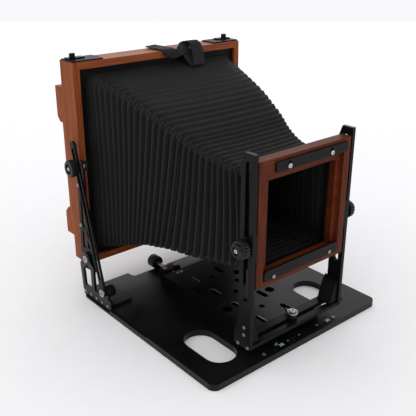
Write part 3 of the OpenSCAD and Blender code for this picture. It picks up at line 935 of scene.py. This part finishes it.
def board_screws():
    """screws of the lower rest, and of the upper lock, which slides on the shanks of its own"""
    bm = bmesh.new()
    outer_x = nbox("board_rest_screws")[1][0] - 3.3
    for s in SIDES:
        seat = (s * outer_x, LENS_FACE - REST_THICK, middle("board_rest_screws")[2])
        screw(bm, seat, (0, -1, 0), REST_HEAD)
    piece("board_rest_screws_fine", bm, [STEEL], "lens_frame", ("board_rest_screws",))
    bm = bmesh.new()
    for x in LOCK_SCREW_X:
        seat = (x, LENS_FACE - LOCK_THICK, middle("board_lock_screws")[2])
        screw(bm, seat, (0, -1, 0), LOCK_HEAD, 42)
        pin(bm, seat, (0, 1, 0), LOCK_THICK, LOCK_SCREW_SHANK)
    piece("board_lock_screws_fine", bm, [CHROME], "lens_frame", ("board_lock_screws",))


board_screws()

# ---------------------------------------------------------------- rear standard
REAR_JOINT_X, BACK_JOINT_X, GLASS_JOINT_X = 154.0, 128.0, 130.9
refine_wood("rear_frame", REAR_STILE, REAR_RAIL, REAR_JOINT_X, 0.9, 3)
refine_wood("back_frame", REAR_STILE, REAR_RAIL, BACK_JOINT_X, 0.5, 2)
refine_wood("glass_frame", REAR_STILE, REAR_RAIL, GLASS_JOINT_X, 0.7, 3)
refine("rear_bellows_frame", ANODISED, 0.4)
for _, side in NAMED_SIDES:
    refine("rear_arm_" + side, ARM_BLACK, 0.4)
    refine("strut_" + side, ARM_BLACK)
    refine("latch_" + side, ARM_BLACK, 0.4, 3)
refine("latch_plates", ANODISED, 0.4)
refine("ground_glass", GROUND_GLASS, 0.3)
refine("glass_clips", SPRING_STEEL, 0.2)
refine("back_springs", SPRING_STEEL, 0.15)
refine("clamp_studs", STEEL, 0.2)
REAR_BOTTOM = nbox("rear_frame")[0][2]
REAR_SIDE, REAR_BACK, REAR_TOP = nbox("rear_frame")[1]
REAR_ARM_X = nbox("rear_arm_right")[1][0]
# Places on the rear standard's sides: y behind the frame's face, and height over its bottom
ARM_SCREW_SPOTS = ((5.4, 139), (7, 70))
ARM_PIN_SPOT = (9, 17)
DISC_SPOT = (-24, 180)
ARM_HEAD = (3.0, 1.3, 1.3)
DISC_HEAD = (3.0, 1.2, 1.3)
DISC_PROFILE = [(0, 0), (7.0, 0), (7.5, 0.5), (7.5, 3.2), (7.0, 3.8), (6.0, 4.0), (0, 4.0)]
SPRING_SCREW_X = 124.4
SPRING_SCREW_RISE = 60
SPRING_HEAD = (3.6, 1.5, 1.5)
BACK_THICK = 15


def on_arm(s, spot):
    back, over = spot
    return Vector((s * REAR_ARM_X, REAR_FACE + back, REAR_BOTTOM + over))


def rear_arm_screws():
    bm = bmesh.new()
    for s in SIDES:
        for spot in ARM_SCREW_SPOTS:
            screw(bm, on_arm(s, spot), (s, 0, 0), ARM_HEAD)
        pin(bm, on_arm(s, ARM_PIN_SPOT), (-s, 0, 0), REAR_ARM_X - REAR_SIDE, 2.0)
    piece("rear_arm_screws_fine", bm, [STEEL], "rear_standard", ("rear_arm_screws",))


def detent_discs():
    discs = bmesh.new()
    screws = bmesh.new()
    thick = DISC_PROFILE[-1][1]
    for s in SIDES:
        centre = on_arm(s, DISC_SPOT)
        outward = Vector((s, 0, 0))
        lathe(discs, centre, outward, DISC_PROFILE, 96, flutes(16, 0.4, 1.5, 0.3, 3.5))
        screw(screws, centre + outward * thick, outward, DISC_HEAD)
    piece("detent_discs_fine", discs, [KNOB_BLACK], "rear_standard", ("detent_discs",))
    piece("detent_disc_screws", screws, [STEEL], "rear_standard")


def spring_screws():
    bm = bmesh.new()
    for s in SIDES:
        for rise in (-SPRING_SCREW_RISE, SPRING_SCREW_RISE):
            seat = (s * SPRING_SCREW_X, REAR_BACK + BACK_THICK, middle("spring_screws")[2] + rise)
            screw(bm, seat, (0, 1, 0), SPRING_HEAD)
    piece("spring_screws_fine", bm, [STEEL], "glass_back", ("spring_screws",))


rear_arm_screws()
detent_discs()
spring_screws()

# ---------------------------------------------------------------- bellows
# How far the sleeve hangs inside the straight line between its two frames, at stations along it
STATIONS = (0, .15, .3, .45, .6, .75, .9, 1.0)
SIDE_SAG = (0, 2.0, 1.0, 1.2, 3.0, 4.6, 2.0, 0)
TOP_SAG = (0, -1.6, 2.0, 9.4, 16.8, 17.2, 10.0, 0)
BOTTOM_SAG = (0, 4.4, 7.6, 6.4, 2.8, 0.8, 0, 0)
PLEATS = 27
FLAT_REAR, FLAT_FRONT = 0.022, 0.972   # the sleeve is flat outside these
SPACING = 1.12                         # pleats lie a little closer together near the rear
CORNER_CUT = 11.0
FACE_STEPS, CORNER_STEPS = 14, 14
SIDE_DEPTH, TOP_DEPTH, CORNER_DEPTH = 6.4, 1.5, 6.4
BELLY = 1.6
CLOTH_GAP = 0.4
CLOTH_THICK = 0.7


def spline(values, t):
    """a smooth curve through the values at the stations"""
    last = len(STATIONS) - 1
    i = next((k for k in range(last) if t <= STATIONS[k + 1]), last - 1)
    span = STATIONS[i + 1] - STATIONS[i]
    u = min(max((t - STATIONS[i]) / span, 0), 1)

    def slope(j):
        before, after = max(j - 1, 0), min(j + 1, last)
        return (values[after] - values[before]) / (STATIONS[after] - STATIONS[before])

    a, b = slope(i) * span, slope(i + 1) * span
    start = (2 * u**3 - 3 * u**2 + 1) * values[i] + (u**3 - 2 * u**2 + u) * a
    return start + (3 * u**2 - 2 * u**3) * values[i + 1] + (u**3 - u**2) * b


def smooth01(x):
    x = min(max(x, 0), 1)
    return x * x * (3 - 2 * x)


def mixed(a, b, t):
    return a + (b - a) * t


SLEEVE_LO, SLEEVE_HI = nbox("bellows")
SMALL_LO, SMALL_HI = nbox("front_bellows_frame")


def section(t):
    """y, middle height, half height and half width of the sleeve, t from the rear 0 to the front 1"""
    y = mixed(SLEEVE_HI[1] - CLOTH_GAP, SLEEVE_LO[1] + CLOTH_GAP, t)
    top = mixed(SLEEVE_HI[2] - CLOTH_GAP, SMALL_HI[2] - CLOTH_GAP, t) - spline(TOP_SAG, t)
    bottom = mixed(SLEEVE_LO[2] + CLOTH_GAP, SMALL_LO[2] + CLOTH_GAP, t) + spline(BOTTOM_SAG, t)
    half_width = mixed(SLEEVE_HI[0] - CLOTH_GAP, SMALL_HI[0] - CLOTH_GAP, t) - spline(SIDE_SAG, t)
    return y, (top + bottom) / 2, (top - bottom) / 2, half_width


def fold(phase):
    """crisp zigzag with slightly rounded tips, 1 at a ridge, 0 at a valley"""
    d = 2 * abs(phase - round(phase))
    soft = 0.09
    return 1 - (math.hypot(d, soft) - soft) / (math.hypot(1, soft) - soft)


def pleat_phase(t):
    u = (t - FLAT_REAR) / (FLAT_FRONT - FLAT_REAR)
    return PLEATS * (u * SPACING - (SPACING - 1) * u * u)


def pleat_place(phase):
    """the t at which pleat_phase reaches phase"""
    bend = SPACING - 1
    u = (SPACING - math.sqrt(SPACING**2 - 4 * bend * phase / PLEATS)) / (2 * bend)
    return mixed(FLAT_REAR, FLAT_FRONT, u)


def lean(t):
    """angle that stands a ring square to the sleeve's sagging middle line"""
    step = 0.02
    y1, z1, _, _ = section(max(t - step, 0.0))
    y2, z2, _, _ = section(min(t + step, 1.0))
    return math.atan2(z2 - z1, y1 - y2) * smooth01(t / 0.12) * smooth01((1 - t) / 0.10)


class Face:
    """one flat face of a ring: its two ends, outward normal, fold height, fold depth and the strength of the
    painted highlight on its ridge tips
    """

    def __init__(self, start, end, normal, ridge, depth, ridge_highlight, act):
        self.end = Vector(end)
        self.start = Vector(start)
        self.length = (self.end - self.start).length
        self.along = (self.end - self.start) / self.length
        self.normal = Vector(normal)
        self.ridge = ridge
        self.sunk = depth * (1 - ridge)
        # painted highlight on the ridge tips, where the fold stands highest
        self.ridge_highlight = max(0.0, (ridge - 0.72) / 0.28) * ridge_highlight
        self.act = act

    def at(self, s):
        """the point at the distance s from the face's start, drawn in by its fold and its belly"""
        belly = BELLY * math.sin(PI * s / self.length) * self.act
        return self.start + self.along * s - self.normal * (self.sunk + belly)

    def points(self):
        free = self.length - 2 * CORNER_CUT
        return [(self.at(CORNER_CUT + free * i / FACE_STEPS), self.ridge_highlight) for i in range(FACE_STEPS + 1)]

    def corner_points(self, after, depth):
        """the fins of both faces run on over the corner and lie between each other"""
        a = self.at(self.length - CORNER_CUT)
        b = after.at(CORNER_CUT)
        apex = self.end - (self.normal + after.normal) * 1.0
        outward = (self.normal + after.normal) * 0.7071
        found = []
        for i in range(1, CORNER_STEPS):
            u = i / CORNER_STEPS
            sharper = 1 + math.sin(PI * u)
            mine = self.ridge ** sharper * (1 - smooth01((u - 0.78) / 0.2))
            ridge = max(mine, after.ridge ** sharper * smooth01((u - 0.02) / 0.2))
            sunk = 0.85 * depth * (1 - ridge) * smooth01(u / 0.2) * smooth01((1 - u) / 0.2)
            on_curve = (1 - u) ** 2 * a + 2 * u * (1 - u) * apex + u * u * b
            # the second value is a painted highlight on the ridges of the fins
            found.append((on_curve - outward * sunk, max(0.0, (ridge - 0.45) / 0.55)))
        return found


def ring_points(t):
    """one closed ring of the sleeve at t: a list of (place, painted ridge highlight)"""
    y, middle_z, hh, hw = section(t)
    act = smooth01((t - FLAT_REAR) / 0.03) * smooth01((FLAT_FRONT - t) / 0.012)
    side_depth = SIDE_DEPTH * act * (0.45 + 0.55 * smooth01((t - 0.04) / 0.22))
    top_depth = TOP_DEPTH * act * (0.08 + 0.92 * smooth01((t - 0.10) / 0.40))
    phase = pleat_phase(t)
    # the third values, 1.0 on the sides and 0.12 on the top, scale the painted ridge highlight
    side, top = (fold(phase), side_depth, 1.0, act), (fold(phase + 0.5), top_depth, 0.12, act)
    faces = (
        Face((hw, -hh), (hw, hh), (1, 0), *side),
        Face((hw, hh), (-hw, hh), (0, 1), *top),
        Face((-hw, hh), (-hw, -hh), (-1, 0), *side),
        Face((-hw, -hh), (hw, -hh), (0, -1), *top),
    )
    flat = []
    for face, after in zip(faces, faces[1:] + faces[:1]):
        flat += face.points() + face.corner_points(after, CORNER_DEPTH * act)
    tilt = lean(t)
    ca, sa = math.cos(tilt), math.sin(tilt)
    return [(Vector((p.x, y + p.y * sa, middle_z + p.y * ca)) * MM, ridge_highlight * act) for p, ridge_highlight in flat]


# Where the sleeve is cut into sections
CUTS = (0.0, 0.27, 0.53, 0.63, 0.74, 0.88, 1.0)
IN_PLEAT = (0, 0.06, 0.18, 0.32, 0.44, 0.5, 0.56, 0.68, 0.82, 0.94)


def given_thickness(o):
    """replaces the mesh of o with one that has a second skin inside it"""
    skin = o.modifiers.new("skin", "SOLIDIFY")
    skin.thickness = CLOTH_THICK * MM
    skin.offset = -1
    skin.use_rim = True
    solid = bpy.data.meshes.new_from_object(o.evaluated_get(bpy.context.evaluated_depsgraph_get()))
    o.modifiers.clear()
    o.data = solid
    solid.materials.clear()
    solid.materials.append(CLOTH)
    solid.shade_smooth()


def bellows_section(name, places):
    rings = [ring_points(t) for t in places]
    bm = bmesh.new()
    ridge = bm.verts.layers.float.new("ridge")
    rows = []
    for ring in rings:
        row = []
        # the attribute ridge carries the painted highlight of the fold tips
        for place, ridge_highlight in ring:
            v = bm.verts.new(place)
            v[ridge] = ridge_highlight
            row.append(v)
        rows.append(row)
    stitch(bm, rows[::-1])   # in this order the faces look outward, and the second skin grows inward
    mesh = bpy.data.meshes.new(name)
    bm.to_mesh(mesh)
    bm.free()
    o = placed(name, mesh)
    given_thickness(o)
    start_y = min(place.y for place, _ in rings[0])
    end_y = max(place.y for place, _ in rings[-1])
    shortest_m = 0.004
    if start_y - end_y < shortest_m:
        mid = (start_y + end_y) / 2
        start_y, end_y = mid + shortest_m / 2, mid - shortest_m / 2
    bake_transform(o)
    return o


def bellows():
    places = [0.0, FLAT_REAR / 2]
    places += [pleat_place(k + part) for k in range(PLEATS) for part in IN_PLEAT]
    places += [FLAT_FRONT, (1 + FLAT_FRONT) / 2, 1.0]
    cuts = [min(range(len(places)), key=lambda i, cut=cut: abs(places[i] - cut)) for cut in CUTS]
    for k, (first, last) in enumerate(zip(cuts, cuts[1:])):
        stretch = places[first:last + 1]
        bellows_section("bellows_fold_%d" % (k + 1), stretch)
    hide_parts("bellows")


bellows()

# ---------------------------------------------------------------- strap
# Points along the strap's middle line (x, y, height over the rear frame) and its half-width vector
STRAP = (
    ((4, 203, 2.6), (13, 3, 0)), ((6, 190, 2.2), (13, 2, 0)), ((8, 176, 2.1), (13, 1, 0)),
    ((9, 165, 2.0), (13, 0, 0)), ((10, 159.5, 0.6), (12.5, 0, 0.5)), ((12, 156.8, -3.5), (11, 0, 3)),
    ((18, 156.0, -5), (6, 1, 7)), ((26, 156.8, -3.5), (0, 2, 8)), ((35, 160, -1.0), (-3, 3, 7)),
    ((43, 164, 2.8), (-8, 2, 6)), ((49, 167, 6.0), (-11, 0, 3)), ((54, 166.5, 9.2), (-12, 0, 1)),
    ((58, 162.5, 10.4), (-12, 0, 0)), ((60.8, 158, 7.6), (-12, 0, 1)), ((62.5, 154, 0), (-12, 0, 0)),
    ((62.3, 149.5, -11), (-12, 0, 0)), ((60.5, 145.5, -19), (-12, 0, 0)), ((58, 142.3, -24), (-12, 0, 0)),
    ((56.5, 142.6, -26), (-12, 0, 0)), ((55, 147, -25), (-12, 0, 0)), ((52.5, 153, -19), (-12, 0, 0)),
    ((50, 158.6, -11), (-12, 0, 0)), ((48, 160.6, -3), (-12, 0, 0)),
)
STRAP_RIVET = (5, 196)
STRAP_THICK = 2.0
STRAP_STEPS_BETWEEN = 8
STRAP_STEPS_ACROSS = 8
EDGE_THICKNESS = 0.55   # share of the full thickness at the selvedge


def through(points, i, u):
    """Catmull-Rom curve between points i and i + 1"""
    last = len(points) - 1
    a, b, c, d = (Vector(points[min(max(k, 0), last)]) for k in range(i - 1, i + 3))
    return 0.5 * (2 * b + (c - a) * u + (2 * a - 5 * b + 4 * c - d) * u**2 + (3 * b - a - 3 * c + d) * u**3)


def resampled(points):
    fractions = [k / STRAP_STEPS_BETWEEN for k in range(STRAP_STEPS_BETWEEN)]
    return [through(points, i, u) for i in range(len(points) - 1) for u in fractions] + [Vector(points[-1])]


def strap_row(bm, middle_point, half_width, direction):
    """one loop of vertices round the strap, each with its place across it from -1 to 1"""
    normal = direction.cross(half_width).normalized()
    row = []
    for face in (1, -1):
        for k in range(STRAP_STEPS_ACROSS + 1):
            across = face * (2 * k / STRAP_STEPS_ACROSS - 1)
            fullness = EDGE_THICKNESS + (1 - EDGE_THICKNESS) * min(1.0, max(0.0, 1 - abs(across)) * 3)
            out = normal * (face * STRAP_THICK / 2 * fullness)
            row.append((bm.verts.new((middle_point + half_width * across + out) * MM), across))
    return row


def strap():
    line = resampled([(x, y, REAR_TOP + z) for (x, y, z), _ in STRAP])
    widths = resampled([half for _, half in STRAP])
    run = [0.0]
    for a, b in zip(line, line[1:]):
        run.append(run[-1] + (b - a).length)
    bm = bmesh.new()
    uv = bm.loops.layers.uv.new("UVMap")
    rows = []
    for i, (point, half) in enumerate(zip(line, widths)):
        direction = (line[min(i + 1, len(line) - 1)] - line[max(i - 1, 0)]).normalized()
        rows.append(strap_row(bm, point, half, direction))
    for i, (p, q) in enumerate(zip(rows, rows[1:])):
        for k in range(len(p)):
            j = (k + 1) % len(p)
            face = bm.faces.new((p[k][0], p[j][0], q[j][0], q[k][0]))
            ends = ((p[k], run[i]), (p[j], run[i]), (q[j], run[i + 1]), (q[k], run[i + 1]))
            for loop, ((_, across), along) in zip(face.loops, ends):
                loop[uv].uv = (along / 10.0, across)
    for row in (rows[0], rows[-1]):
        bm.faces.new([v for v, _ in row])
    piece("strap_web", bm, [WEBBING], "rear_standard", ("strap", "strap_anchors"), smooth=60)
    bm = bmesh.new()
    screw(bm, (*STRAP_RIVET, REAR_TOP + 3.0), UP, (3.2, 1.3, 1.4))
    piece("strap_rivet", bm, [ARM_BLACK], "rear_standard")


strap()
